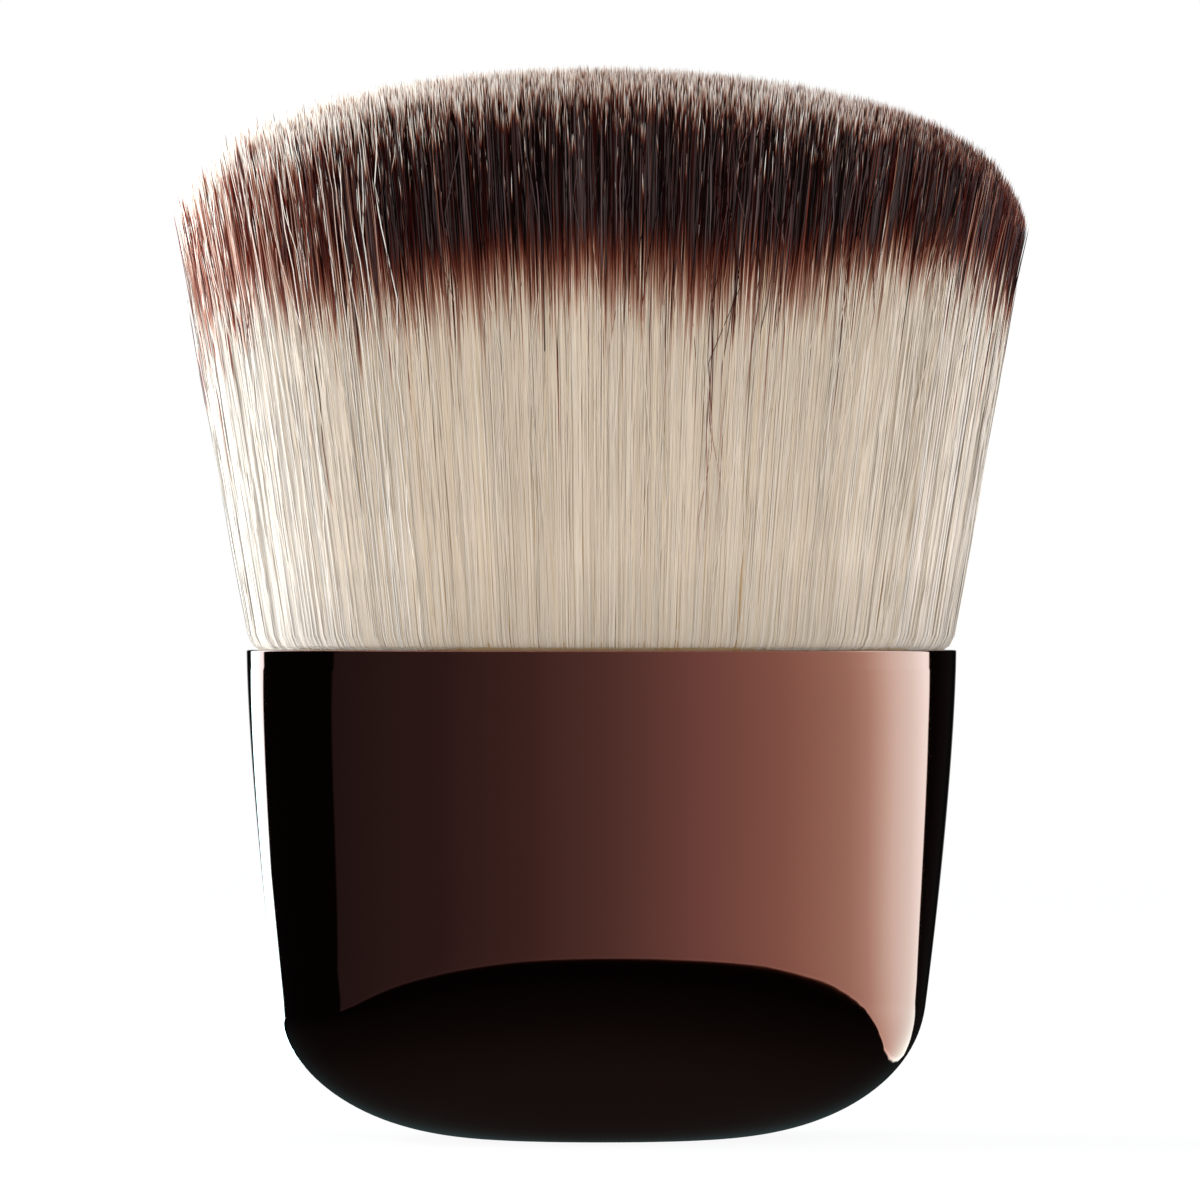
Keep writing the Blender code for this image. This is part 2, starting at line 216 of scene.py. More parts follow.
# The mass of hair inside: how near it comes to the strands and the crown, and where it narrows
CORE_COLUMNS = 256
CORE_ROWS = 40
CORE_CAP_ROWS = 10
CORE_SHARE = 0.962
CORE_DEPTH = 0.0068
CORE_MOUTH = (HANDLE_HEIGHT - 0.006, HANDLE_HEIGHT + 0.002)
CORE_MOUTH_SHARE = CORE_SHARE + 0.02

random = np.random.default_rng(20)


def clear_startup():
    """Removes what Blender's own startup file holds, and keeps the frame."""
    kept = set(frame["nodes"].values()) | set(frame["bodies"].values())
    for item in list(bpy.data.objects):
        if item not in kept:
            bpy.data.objects.remove(item, do_unlink=True)


clear_startup()
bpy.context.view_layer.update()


class Signal:
    """One socket of a finish's node tree. Arithmetic on a signal adds Math nodes."""

    def __init__(self, tree, socket=None):
        self.tree = tree
        self.socket = socket

    def feed(self, socket, value):
        """Gives a socket a link to a signal, or a plain value."""
        if isinstance(value, Signal):
            self.tree.links.new(value.socket, socket)
        else:
            socket.default_value = value

    def node(self, kind, settings=None, inputs=None, output=0):
        """Adds a node. Its settings are set first, then its sockets get their values or links."""
        made = self.tree.nodes.new(kind)
        for name, value in (settings or {}).items():
            if name == "stops":
                lay_stops(made.color_ramp, value)
            else:
                setattr(made, name, value)
        for name, value in (inputs or {}).items():
            self.feed(made.inputs[name], value)
        return Signal(self.tree, made.outputs[output])

    def maths(self, operation, *values):
        return self.node("ShaderNodeMath", {"operation": operation}, dict(enumerate(values)))

    def parts(self, kind, inputs=None):
        """A node that splits something up, as one signal for each of its outputs."""
        outputs = self.node(kind, None, inputs).socket.node.outputs
        return [Signal(self.tree, output) for output in outputs]

    def ramp(self, stops):
        """A colour ramp that this signal runs along."""
        return self.node("ShaderNodeValToRGB", {"stops": stops}, {"Fac": self})

    def mix(self, low, high):
        """A mix of two colours by this signal. The node takes them at its sockets 6 and 7."""
        return self.node("ShaderNodeMix", {"data_type": "RGBA"}, {0: self, 6: low, 7: high}, 2)

    def at_most(self, other):
        return self.maths("MINIMUM", self, other)

    def at_least(self, other):
        return self.maths("MAXIMUM", self, other)

    def floored(self):
        return self.maths("FLOOR", self)

    def between(self, least, most, lowest=0.0, soft=False):
        """Runs from a lowest value to 1 while this signal runs between two ends."""
        kind = "SMOOTHSTEP" if soft else "LINEAR"
        ends = {"Value": self, "From Min": least, "From Max": most, "To Min": lowest}
        return self.node("ShaderNodeMapRange", {"interpolation_type": kind}, ends)

    def times(self, other):
        """This colour times another, channel by channel."""
        return self.node("ShaderNodeVectorMath", {"operation": "MULTIPLY"}, {0: self, 1: other})

    def __add__(self, other):
        return self.maths("ADD", self, other)

    def __sub__(self, other):
        return self.maths("SUBTRACT", self, other)

    def __rsub__(self, other):
        return self.maths("SUBTRACT", other, self)

    def __mul__(self, other):
        return self.maths("MULTIPLY", self, other)

    def __truediv__(self, other):
        return self.maths("DIVIDE", self, other)

    def __rtruediv__(self, other):
        return self.maths("DIVIDE", other, self)

    __radd__ = __add__
    __rmul__ = __mul__


def lay_stops(ramp, stops):
    """Gives a colour ramp its stops, as places and linear colours."""
    while len(ramp.elements) < len(stops):
        ramp.elements.new(1.0)
    for element, (place, colour) in zip(ramp.elements, stops):
        element.position = place
        element.color = (*colour, 1.0)


def linear(red, green, blue):
    """A colour written as the screen shows it, 0 to 255, as the linear one that shaders take."""
    shown = [value / 255 for value in (red, green, blue)]
    return tuple(v / 12.92 if v <= 0.04045 else ((v + 0.055) / 1.055) ** 2.4 for v in shown)


def grey(value):
    return (value, value, value)


def new_finish(name, fixed):
    """A material, its Principled shader with fixed numbers on its own sockets, and a signal."""
    made = bpy.data.materials.new(name)
    made.use_nodes = True
    shader = made.node_tree.nodes["Principled BSDF"]
    for socket, value in fixed.items():
        shader.inputs[socket].default_value = value
    return made, shader, Signal(made.node_tree)


def object_place(signal):
    """Where on its own mesh a point lies, which is its place in the part's frame."""
    return signal.node("ShaderNodeTexCoord", output=3)


def length_of(vector):
    return vector.node("ShaderNodeVectorMath", {"operation": "LENGTH"}, {0: vector}, 1)


def noise(signal, place, scale, detail=3.0):
    inputs = {"Vector": place, "Scale": scale, "Detail": detail, "Roughness": 0.5}
    return signal.node("ShaderNodeTexNoise", None, inputs)


def lay_on(signal, shader, pattern, tones, polish):
    """Feeds a shader its colour and roughness: each is a pattern and what it runs between."""
    colour_by, roughness_by = pattern
    least, more = polish
    signal.feed(shader.inputs["Base Color"], colour_by.mix(*tones))
    signal.feed(shader.inputs["Roughness"], least + more * roughness_by)


def emboss(signal, shader, height, strength, distance):
    bump = {"Strength": strength, "Distance": distance, "Height": height}
    signal.feed(shader.inputs["Normal"], signal.node("ShaderNodeBump", None, bump))


# Each finish has its two tones, its roughness and how much a pattern adds to it, and the scales
# of its patterns, in repeats for each metre
LACQUER_TONES = ((0.232, 0.0575, 0.0385, 1.0), (0.248, 0.0625, 0.0415, 1.0))
LACQUER_POLISH = (0.04, 0.015)
LACQUER_DRIFT = 60.0
LACQUER_GRAIN = 900.0
ZINC_TONES = ((0.36, 0.36, 0.37, 1.0), (0.50, 0.50, 0.51, 1.0))
ZINC_POLISH = (0.28, 0.16)
ZINC_SPANGLE = 500.0
MOULDING_TONES = ((0.024, 0.024, 0.025, 1.0), (0.040, 0.039, 0.038, 1.0))
MOULDING_POLISH = (0.42, 0.16)
MOULDING_GRAIN = 3500.0
MOULDING_DRIFT = 120.0
MOULDING_RELIEF = (0.3, 0.00003)
DRAWN_TONES = ((0.66, 0.66, 0.67, 1.0), (0.84, 0.84, 0.85, 1.0))
DRAWN_POLISH = (0.22, 0.2)
DRAWN_SQUEEZE = (1.0, 1.0, 0.04)
DRAWN_LINES = 3000.0
DRAWN_RELIEF = (0.2, 0.00002)
RESIN_TONES = ((0.62, 0.44, 0.20, 1.0), (0.78, 0.64, 0.38, 1.0))
RESIN_POLISH = (0.12, 0.16)
RESIN_CLOUD = 350.0
THREAD_TONES = ((0.55, 0.52, 0.45, 1.0), (0.88, 0.86, 0.80, 1.0))
THREAD_POLISH = (0.7, 0.2)
THREAD_TWIST = 90.0
THREAD_RISE = 9000.0
THREAD_FUZZ = 2500.0
# The share of the thread's tone that is painted shade, darker in the grooves between plies; the
# rest is its own fuzz
THREAD_PLY_SHADE_SHARE = 0.7
THREAD_RELIEF = (0.5, 0.00006)


def handle_lacquer():
    """Brown metallic lacquer, polished, with a faint drift in its tone and its polish."""
    fixed = {"Metallic": 1.0, "Coat Weight": 1.0, "Coat Roughness": 0.0, "Coat IOR": 1.5}
    made, shader, signal = new_finish("handle_lacquer", fixed)
    place = object_place(signal)
    drift = noise(signal, place, LACQUER_DRIFT)
    grain = noise(signal, place, LACQUER_GRAIN, 2.0)
    lay_on(signal, shader, (drift, grain), LACQUER_TONES, LACQUER_POLISH)
    return made


def zinc_plate():
    """Zinc plating on the steel weight, with its spangle."""
    made, shader, signal = new_finish("zinc_plate", {"Metallic": 1.0})
    cells = {"Vector": object_place(signal), "Scale": ZINC_SPANGLE}
    spangle = signal.node("ShaderNodeTexVoronoi", None, cells, 1)
    tone = signal.node("ShaderNodeSeparateColor", None, {"Color": spangle})
    lay_on(signal, shader, (tone, tone), ZINC_TONES, ZINC_POLISH)
    return made


def black_moulding():
    """The insert's black plastic, with the fine grain of its mould."""
    made, shader, signal = new_finish("black_moulding", {"Specular IOR Level": 0.4})
    place = object_place(signal)
    grain = noise(signal, place, MOULDING_GRAIN)
    tone = noise(signal, place, MOULDING_DRIFT)
    lay_on(signal, shader, (tone, grain), MOULDING_TONES, MOULDING_POLISH)
    emboss(signal, shader, grain, *MOULDING_RELIEF)
    return made


def drawn_aluminium():
    """The cup's aluminium, with fine lines up its walls from drawing."""
    made, shader, signal = new_finish("drawn_aluminium", {"Metallic": 1.0})
    lines = noise(signal, object_place(signal).times(DRAWN_SQUEEZE), DRAWN_LINES)
    lay_on(signal, shader, (lines, lines), DRAWN_TONES, DRAWN_POLISH)
    emboss(signal, shader, lines, *DRAWN_RELIEF)
    return made


def potting_resin():
    """Clear amber resin, cloudier in places."""
    made, shader, signal = new_finish("potting_resin", {"Transmission Weight": 0.4})
    cloud = noise(signal, object_place(signal), RESIN_CLOUD)
    lay_on(signal, shader, (cloud, cloud), RESIN_TONES, RESIN_POLISH)
    return made


def wound_thread():
    """Twisted thread: slanting plies round the band, with painted shade darkening the grooves
    between them.
    """
    made, shader, signal = new_finish("wound_thread", {"Specular IOR Level": 0.25})
    place = object_place(signal)
    x, y, z = signal.parts("ShaderNodeSeparateXYZ", {"Vector": place})
    slant = x.maths("ARCTAN2", y, x) * THREAD_TWIST + z * THREAD_RISE
    plies = (slant.maths("SINE", slant) + 1.0) * 0.5
    fuzz = noise(signal, place, THREAD_FUZZ)
    # Painted shade: the thread is darker where the plies dip into their grooves
    tone = plies * THREAD_PLY_SHADE_SHARE + fuzz * (1.0 - THREAD_PLY_SHADE_SHARE)
    lay_on(signal, shader, (tone, fuzz), THREAD_TONES, THREAD_POLISH)
    emboss(signal, shader, plies, *THREAD_RELIEF)
    return made


def dye_place(distance):
    """Where along the hair's map a distance from the tip lies, 0 to 1."""
    return (distance + DYE_OFFSET) / DYE_SPAN


# What share of the cream each dye lets through, by how much of it there is, as the screen shows it
COOL_DYES = (
    (0.0, (255, 255, 255)),
    (0.2, (217, 206, 209)),
    (0.4, (171, 148, 150)),
    (0.6, (119, 92, 94)),
    (0.8, (68, 48, 50)),
    (1.0, (14, 8, 9)),
)
WARM_DYES = (
    (0.0, (255, 255, 255)),
    (0.15, (212, 188, 180)),
    (0.35, (163, 119, 107)),
    (0.55, (119, 67, 56)),
    (0.8, (66, 29, 24)),
    (1.0, (14, 7, 7)),
)
RED_DYES = (
    (0.0, (255, 255, 255)),
    (0.2, (214, 180, 170)),
    (0.45, (166, 106, 94)),
    (0.7, (126, 56, 46)),
    (1.0, (80, 20, 17)),
)

# The cream itself, by a strand's tone
CREAM_TONES = (
    (0.0, (190, 154, 106)),
    (0.3, (207, 186, 160)),
    (0.7, (213, 197, 179)),
    (1.0, (225, 215, 204)),
)

# How strong the dye is, by distance from the tip
STRENGTHS = (
    (0.0, 0.0),
    (0.0006, 0.08),
    (0.0011, 0.4),
    (0.0016, 1.0),
    (0.0064, 1.0),
    (0.0074, 0.74),
    (0.0084, 0.44),
    (0.0094, 0.2),
    (0.0106, 0.0),
)

# The tip is paler than the cream: by this share at its end, and down to this far below it
PALE_TIP = (*linear(240, 232, 222), 1.0)
PALE_SHARE = 0.95
PALE_UNTIL = 0.0015

# Tones of strand over which its dye turns from cool to warm, and then to red
WARM_FROM_TO = (0.05, 0.30)
RED_FROM_TO = (0.5, 0.9)

# Strands dyed to this depth have all their dye. A pale painted sheen shows on those, less on deeper
# ones.
FULL_DEPTH = 0.8
PAINTED_SHEEN = (0.60, 0.42, 0.40, 1.0)
PAINTED_SHEEN_FROM = 0.7
PAINTED_SHEEN_STOPS = ((FULL_DEPTH - 0.03, 0.0), (FULL_DEPTH, 0.16), (1.0, 0.0))

# Painted shade: the hair is darkened a little towards the handle's mouth, between these heights,
# where the strands crowd and shade each other
MOUTH_SHADE = (0.0368, 0.0430)
LEAST_MOUTH_SHARE = 0.80

# How rough the hair is, and how much less so at its palest tone
HAIR_ROUGHNESS = 0.55
TONE_POLISH = 0.15


def shown_stops(stops):
    """Stops whose colours are written as the screen shows them."""
    return [(place, linear(*colour)) for place, colour in stops]


def dipped_hair():
    """Fine filament, cream with a dyed band under its tips. The map's U picks how deeply a strand
    is dyed and its own tone, and V runs from its tip to its root."""
    fixed = {"Specular IOR Level": 0.03, "IOR": 1.5}
    made, shader, signal = new_finish("dipped_hair", fixed)
    chart = signal.node("ShaderNodeUVMap", {"uv_map": "OFBake"})
    chart_across, along, _ = signal.parts("ShaderNodeSeparateXYZ", {"Vector": chart})
    column = (chart_across * DYE_COLUMNS).floored()
    group = (column / DYE_CLASSES).floored()
    depth = group / (DYE_CLASSES - 1)
    tone = (column - group * DYE_CLASSES) / (DYE_CLASSES - 1)

    pale = along.ramp(((dye_place(0.0), grey(PALE_SHARE)), (dye_place(PALE_UNTIL), grey(0.0))))
    cream = pale.mix(tone.ramp(shown_stops(CREAM_TONES)), PALE_TIP)
    strength = along.ramp([(dye_place(d), grey(value)) for d, value in STRENGTHS])
    amount = strength * (depth / FULL_DEPTH).at_most(1.0)
    cool, warm, red = (amount.ramp(shown_stops(dyes)) for dyes in (COOL_DYES, WARM_DYES, RED_DYES))
    dye = tone.between(*RED_FROM_TO).mix(tone.between(*WARM_FROM_TO).mix(cool, warm), red)
    # Painted sheen: a pale pink-grey laid over strongly dyed strands in place of their gloss
    painted_sheen = amount.ramp(((PAINTED_SHEEN_FROM, grey(0.0)), (1.0, grey(1.0))))
    painted_sheen = painted_sheen * depth.ramp([(place, grey(value)) for place, value in PAINTED_SHEEN_STOPS])
    # Painted shade: the hair's colour is darkened towards the handle's mouth
    height = signal.parts("ShaderNodeSeparateXYZ", {"Vector": object_place(signal)})[2]
    shade = height.between(*MOUTH_SHADE, LEAST_MOUTH_SHARE)
    signal.feed(shader.inputs["Base Color"], painted_sheen.mix(cream.times(dye), PAINTED_SHEEN).times(shade))
    signal.feed(shader.inputs["Roughness"], HAIR_ROUGHNESS - TONE_POLISH * tone)
    return made


def roll(height, roll_height):
    """Share of the roll's run still to come at a height: 1 at the foot, 0 where the wall starts."""
    left = np.clip(1.0 - height / roll_height, 0.0, 1.0)
    return 1.0 - (1.0 - left**ROLL_POWER) ** (1.0 / ROLL_POWER)


def on_oval(angle):
    """Points of the unit oval, a superellipse a little squarer than an ellipse."""
    across, out = np.cos(angle), np.sin(angle)
    power = 2.0 / OVAL_POWER
    return np.sign(across) * np.abs(across) ** power, np.sign(out) * np.abs(out) ** power


def handle_ring(angles, height, inset, rise=0.0):
    """One section of the handle, moved in by an inset and lifted by a rise."""
    across, out = on_oval(angles)
    down = max(0.0, 1.0 - height / HANDLE_HEIGHT) ** TAPER_POWER
    side_roll = SIDE_ROLL_RUN * roll(height, SIDE_ROLL_HEIGHT)
    face_roll_height = FACE_ROLL_HEIGHT * np.maximum(np.abs(out), LEAST_ROLL_SHARE)
    face_roll = FACE_ROLL_RUN * roll(height, face_roll_height)
    side = RIM_HALF_WIDTH - SIDE_TAPER * down - side_roll - inset
    face = RIM_HALF_DEPTH - FACE_TAPER * down - face_roll - inset
    return np.stack([side * across, face * out, np.full(angles.shape, height + rise)], axis=1)


def add_piece(name, mesh, finish):
    """Puts a mesh in the scene as a piece of the part, with its finish."""
    made = bpy.data.objects.new(name, mesh)
    bpy.context.scene.collection.objects.link(made)
    mesh.materials.append(finish)
    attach(made, "root")
    return made


def corner_marks(sides, levels, columns):
    """The chart's places of one row of faces, corner by corner."""
    corners = [
        np.stack([np.broadcast_to(u, columns), np.broadcast_to(v, columns)], axis=1)
        for u, v in zip(sides, levels)
    ]
    return np.stack(corners, axis=1).reshape(-1, 2)


def loft(name, rings, chart):
    """Skins rings from first to last and closes both ends. The chart has a U for each column's
    two edges and a V for each ring and both poles."""
    rings = np.asarray(rings)
    rows, columns = rings.shape[:2]
    poles = np.stack([rings[0].mean(axis=0), rings[-1].mean(axis=0)])
    points = np.concatenate([rings.reshape(-1, 3), poles])
    left = np.arange(columns)
    right = (left + 1) % columns
    u_left, u_right, v_rows, v_first, v_last = chart
    faces = []
    marks = []
    for row in range(rows - 1):
        low, high = row * columns, (row + 1) * columns
        faces += np.stack([low + left, low + right, high + right, high + left], axis=1).tolist()
        sides = (u_left, u_right, u_right, u_left)
        levels = (v_rows[row], v_rows[row], v_rows[row + 1], v_rows[row + 1])
        marks.append(corner_marks(sides, levels, columns))
    first, last = rows * columns, rows * columns + 1
    middle = 0.5 * (u_left + u_right)
    faces += np.stack([right, left, np.full(columns, first)], axis=1).tolist()
    marks.append(corner_marks((u_right, u_left, middle), (v_rows[0], v_rows[0], v_first), columns))
    top = (rows - 1) * columns
    faces += np.stack([top + left, top + right, np.full(columns, last)], axis=1).tolist()
    marks.append(corner_marks((u_left, u_right, middle), (v_rows[-1], v_rows[-1], v_last), columns))
    mesh = bpy.data.meshes.new(name)
    mesh.from_pydata(points.tolist(), [], faces)
    layer = mesh.uv_layers.new(name="OFBake")
    layer.data.foreach_set("uv", np.concatenate(marks).ravel())
    mesh.shade_smooth()
    return mesh


def dress_handle():
    """The drawn shell with a finely rounded lip, closed all the way round."""
    turns = np.linspace(0.0, 2.0 * math.pi, HANDLE_COLUMNS, endpoint=False)
    roll_top = max(SIDE_ROLL_HEIGHT, FACE_ROLL_HEIGHT)
    lip = HANDLE_HEIGHT - LIP_RADIUS
    quarter = np.linspace(0.0, 0.5 * math.pi, ROLL_ROWS)
    heights = list(roll_top * (1.0 - np.cos(quarter)))
    heights += list(np.linspace(roll_top, lip, WALL_ROWS)[1:])
    rings = [handle_ring(turns, height, 0.0) for height in heights]
    for turn in np.linspace(0.0, math.pi, 2 * LIP_ROWS)[1:-1]:
        rise = LIP_RADIUS * math.sin(turn)
        edge = LIP_RADIUS * (1.0 - math.cos(turn))
        inset = edge if turn < 0.5 * math.pi else edge + HANDLE_WALL - 2.0 * LIP_RADIUS
        rings.append(handle_ring(turns, lip, inset, rise))
    inner = np.linspace(lip, roll_top, WALL_ROWS)
    rings += [handle_ring(turns, height, HANDLE_WALL) for height in inner]
    quarter = np.linspace(0.5 * math.pi, 0.0, WALL_ROWS)[1:]
    for height in roll_top * (1.0 - np.cos(quarter)):
        rise = HANDLE_WALL * (1.0 - height / roll_top)
        rings.append(handle_ring(turns, height, HANDLE_WALL, rise))
    levels = np.linspace(*HANDLE_CHART_ROWS, len(rings))
    edges = np.arange(HANDLE_COLUMNS + 1) / HANDLE_COLUMNS
    chart = (edges[:-1], edges[1:], levels, 0.0, 1.0)
    mesh = loft("handle_body", rings, chart)
    made = add_piece("handle_body", mesh, handle_lacquer())
    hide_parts("handle_shell")


def tuft_halves(height):
    """Half-width and half-depth of the tuft at heights: one straight flare and its filling out."""
    share = np.clip((height - ROOT_TOP) / (CROWN_EDGE - ROOT_TOP), 0.0, None)
    fill = np.interp(height, FILL_HEIGHTS, FILL_RUNS)
    return [root + (crown - root) * share + fill for root, crown in zip(ROOT_HALVES, CROWN_HALVES)]


def tuft_ring(across, out, heights):
    """A ring of the tuft through places of its unit oval, at heights."""
    half_width, half_depth = tuft_halves(heights)
    return np.stack([across * half_width, out * half_depth, heights], axis=1)


def crown_height(across, out):
    """Where hair at this place of the unit oval ends: a domed arch, lower at its front and back
    and rounded off at its two ends."""
    side = np.minimum(1.0, np.abs(across) ** OVAL_POWER)
    rise = (1.0 - side) ** DOME_POWER
    edge = np.minimum(1.0, np.abs(out) ** OVAL_POWER / np.maximum(1.0 - side, 1e-6))
    drop = SHOULDER_DROP * rise * edge**SHOULDER_POWER + CORNER_DROP * side**CORNER_POWER
    return CROWN_EDGE + FACE_ARCH * (1.0 - across**2) + DOME_RISE * rise - drop


def scattered(count, least, most):
    """Places of the unit oval, evenly spread, whose share of its reach lies between two values."""
    kept = np.empty((0, 2))
    while len(kept) < count:
        tried = random.uniform(-1.0, 1.0, (4 * count, 2))
        reach = (np.abs(tried) ** OVAL_POWER).sum(axis=1) ** (1.0 / OVAL_POWER)
        kept = np.concatenate([kept, tried[(reach > least) & (reach <= most)]])
    return kept[:count, 0], kept[:count, 1]


def drift_field(across, out):
    """A smooth sideways drift of neighbours together, as a sum of plane waves."""
    total = np.zeros((len(across), 2))
    width, depth = CROWN_HALVES
    for _ in range(DRIFT_WAVES):
        length = random.uniform(*DRIFT_LENGTHS)
        heading = random.uniform(0.0, 2.0 * math.pi)
        push = random.uniform(0.0, 2.0 * math.pi)
        ahead = across * width * math.cos(heading) + out * depth * math.sin(heading)
        wave = np.sin(2.0 * math.pi * ahead / length + random.uniform(0.0, 2.0 * math.pi))
        total += wave[:, None] * np.array([math.cos(push), math.sin(push)])
    return total * DRIFT_REACH / math.sqrt(DRIFT_WAVES)


def dye_of(across, dye, short=0.0):
    """Each strand's place on the dye map: its column, where its dark part starts and a stretch of
    its length. The dye's lower line mostly holds its height where a strand is cut short."""
    count = len(across)
    side = across * CROWN_HALVES[0]
    starts, ends, bare_share, bare_depth, side_tone = (
        np.interp(side, DYE_SIDES, values)
        for values in (DARK_STARTS, DARK_ENDS, BARE_SHARES, BARE_DEPTHS, SIDE_TONES)
    )
    starts = starts * (1.0 + random.normal(0.0, START_SPREAD_SHARE, count))
    ends = ends + random.normal(0.0, END_SPREAD, count) - HELD_SHARE * short
    trailing = random.uniform(0.0, 1.0, count) < TRAILING_SHARE
    ends = ends + np.where(trailing, random.exponential(TRAILING_REACH, count), 0.0)
    if dye.reach:
        ends = random.uniform(*dye.reach, count)
    stretch = (DARK_UNTIL - DARK_FROM) / np.maximum(ends - starts, LEAST_DARK_LENGTH)
    faint = random.uniform(0.0, 1.0, count) < FAINT_SHARE
    faint_depth = np.maximum(FAINT_FROM - random.exponential(FAINT_SPREAD, count), FULL_DEPTH)
    depth = np.where(faint, faint_depth, 1.0)
    bare = random.uniform(0.0, 1.0, count) < dye.bare_times * bare_share
    bare_reach = random.uniform(-BARE_SPREAD, BARE_SPREAD, count)
    depth = np.where(bare, np.clip(bare_depth + bare_reach, 0.0, 1.0), depth)
    if dye.depths:
        depth = random.uniform(*dye.depths, count)
    tone = np.clip(random.normal(dye.tone + side_tone, dye.tone_spread, count), 0.0, 1.0)
    steps = DYE_CLASSES - 1
    column = np.round(depth * steps) * DYE_CLASSES + np.round(tone * steps)
    return column, starts, stretch


def dye_along(depths, starts, stretch):
    """How far along the dye map each ring lies: true to size over the pale tip, stretched below."""
    past = depths - starts[:, None]
    return DARK_FROM + np.where(past < 0.0, past, past * stretch[:, None])


def facing_of(across, out, depths):
    """Which way the tuft's surface faces at each ring: out from the oval, and up near the tips."""
    lean_x = np.sign(across) * np.abs(across) ** (OVAL_POWER - 1.0) / CROWN_HALVES[0]
    lean_y = np.sign(out) * np.abs(out) ** (OVAL_POWER - 1.0) / CROWN_HALVES[1]
    length = np.maximum(np.hypot(lean_x, lean_y), 1.0)
    level = np.stack([lean_x / length, lean_y / length], axis=1)
    level = np.repeat(level[:, None, :], depths.shape[1], axis=1)
    up = np.interp(depths, RISE_DEPTHS, RISES)
    facing = np.concatenate([level, up[..., None]], axis=2)
    return facing / np.linalg.norm(facing, axis=2, keepdims=True)


def strand_faces(rings):
    """The faces of one strand, up to its tip and closed at its foot: their corners, how many each
    face has, and each corner's place across its column of the map and along its rings."""
    left, middle, right = COLUMN_SHARES
    corners = []
    marks = []
    sizes = []
    for ring in range(rings - 1):
        for side in range(3):
            other = (side + 1) % 3
            low, high = 3 * ring, 3 * ring + 3
            corners += [low + side, low + other, high + other, high + side]
            marks += [(left, ring), (right, ring), (right, ring + 1), (left, ring + 1)]
            sizes.append(4)
    top = 3 * (rings - 1)
    for side in range(3):
        corners += [top + side, top + (side + 1) % 3, top + 3]
        marks += [(left, rings - 1), (right, rings - 1), (middle, rings)]
        sizes.append(3)
    corners += [2, 1, 0]
    marks += [(left, 0), (right, 0), (middle, 1)]
    sizes.append(3)
    across = np.array([mark[0] for mark in marks])
    steps = np.array([mark[1] for mark in marks])
    return np.array(corners), np.array(sizes), across, steps


def strand_mesh(name, centres, radii, facing, columns, along):
    """Closed three-sided strands, each a run of rings up to a pointed tip."""
    count, levels = centres.shape[:2]
    rings = levels - 1
    spin = random.uniform(0.0, 2.0 * math.pi, (count, 1)) + np.arange(3) * 2.0 * math.pi / 3.0
    spokes = np.stack([np.cos(spin), np.sin(spin), np.zeros(spin.shape)], axis=2)[:, None, :, :]
    sides = centres[:, :rings, None, :] + radii[:, :rings, None, None] * spokes
    points = np.concatenate([sides.reshape(count, -1, 3), centres[:, -1:, :]], axis=1)
    shading = ROUND_SHARE * spokes + (1.0 - ROUND_SHARE) * facing[:, :rings, None, :]
    shading = np.concatenate([shading.reshape(count, -1, 3), facing[:, -1:, :]], axis=1)
    shading = shading.reshape(-1, 3)
    shading /= np.linalg.norm(shading, axis=1, keepdims=True)
    corners, sizes, across, steps = strand_faces(rings)
    first_points = np.arange(count)[:, None] * points.shape[1]
    indices = (first_points + corners[None, :]).ravel()
    loop_starts = np.concatenate([[0], np.cumsum(np.tile(sizes, count))[:-1]])
    u = (columns[:, None] + across[None, :]) / DYE_COLUMNS
    v = np.clip(dye_place(along[:, steps]), 0.0, 1.0)
    mesh = bpy.data.meshes.new(name)
    mesh.vertices.add(points.shape[0] * points.shape[1])
    mesh.vertices.foreach_set("co", points.ravel())
    mesh.loops.add(len(indices))
    mesh.loops.foreach_set("vertex_index", indices.astype(np.int32))
    mesh.polygons.add(len(loop_starts))
    mesh.polygons.foreach_set("loop_start", loop_starts.astype(np.int32))
    layer = mesh.uv_layers.new(name="OFBake")
    layer.data.foreach_set("uv", np.stack([u, v], axis=2).ravel())
    mesh.update(calc_edges=True)
    mesh.shade_smooth()
    mesh.normals_split_custom_set_from_vertices(shading)
    return mesh


def strand_paths(across, out, heights, tips, shape, proud):
    """Ring centres of strands: the flare, a drift that neighbours share and waves of their own."""
    halves = tuft_halves(heights)
    above = np.clip((heights - HANDLE_HEIGHT) / (tips[:, None] - HANDLE_HEIGHT), 0.0, 1.0)
    lift = proud[:, None] * np.sqrt(above)
    x = across[:, None] * (halves[0] + lift)
    y = out[:, None] * (halves[1] + lift)
    shared = drift_field(across, out)
    count = len(across)
    free = 1.0 - KEPT_END_SHARE * np.abs(across[:, None]) ** KEPT_END_POWER
    x = x + free * (shared[:, :1] + random.normal(0.0, shape.lean, (count, 1))) * above
    y = y + DRIFT_DEPTH_SHARE * shared[:, 1:] * above
    for axis_values, reach_share in ((x, 1.0), (y, OWN_DEPTH_SHARE)):
        for least, most, wave_share in OWN_WAVES:
            length = random.uniform(least, most, (count, 1))
            phase = random.uniform(0.0, 2.0 * math.pi, (count, 1))
            reach = shape.wander * wave_share * reach_share * random.exponential(1.0, (count, 1))
            wave = np.sin(2.0 * math.pi * heights / length + phase)
            axis_values += free * reach * np.sqrt(above) * wave
    return np.stack([x, y, np.broadcast_to(heights, x.shape)], axis=2)


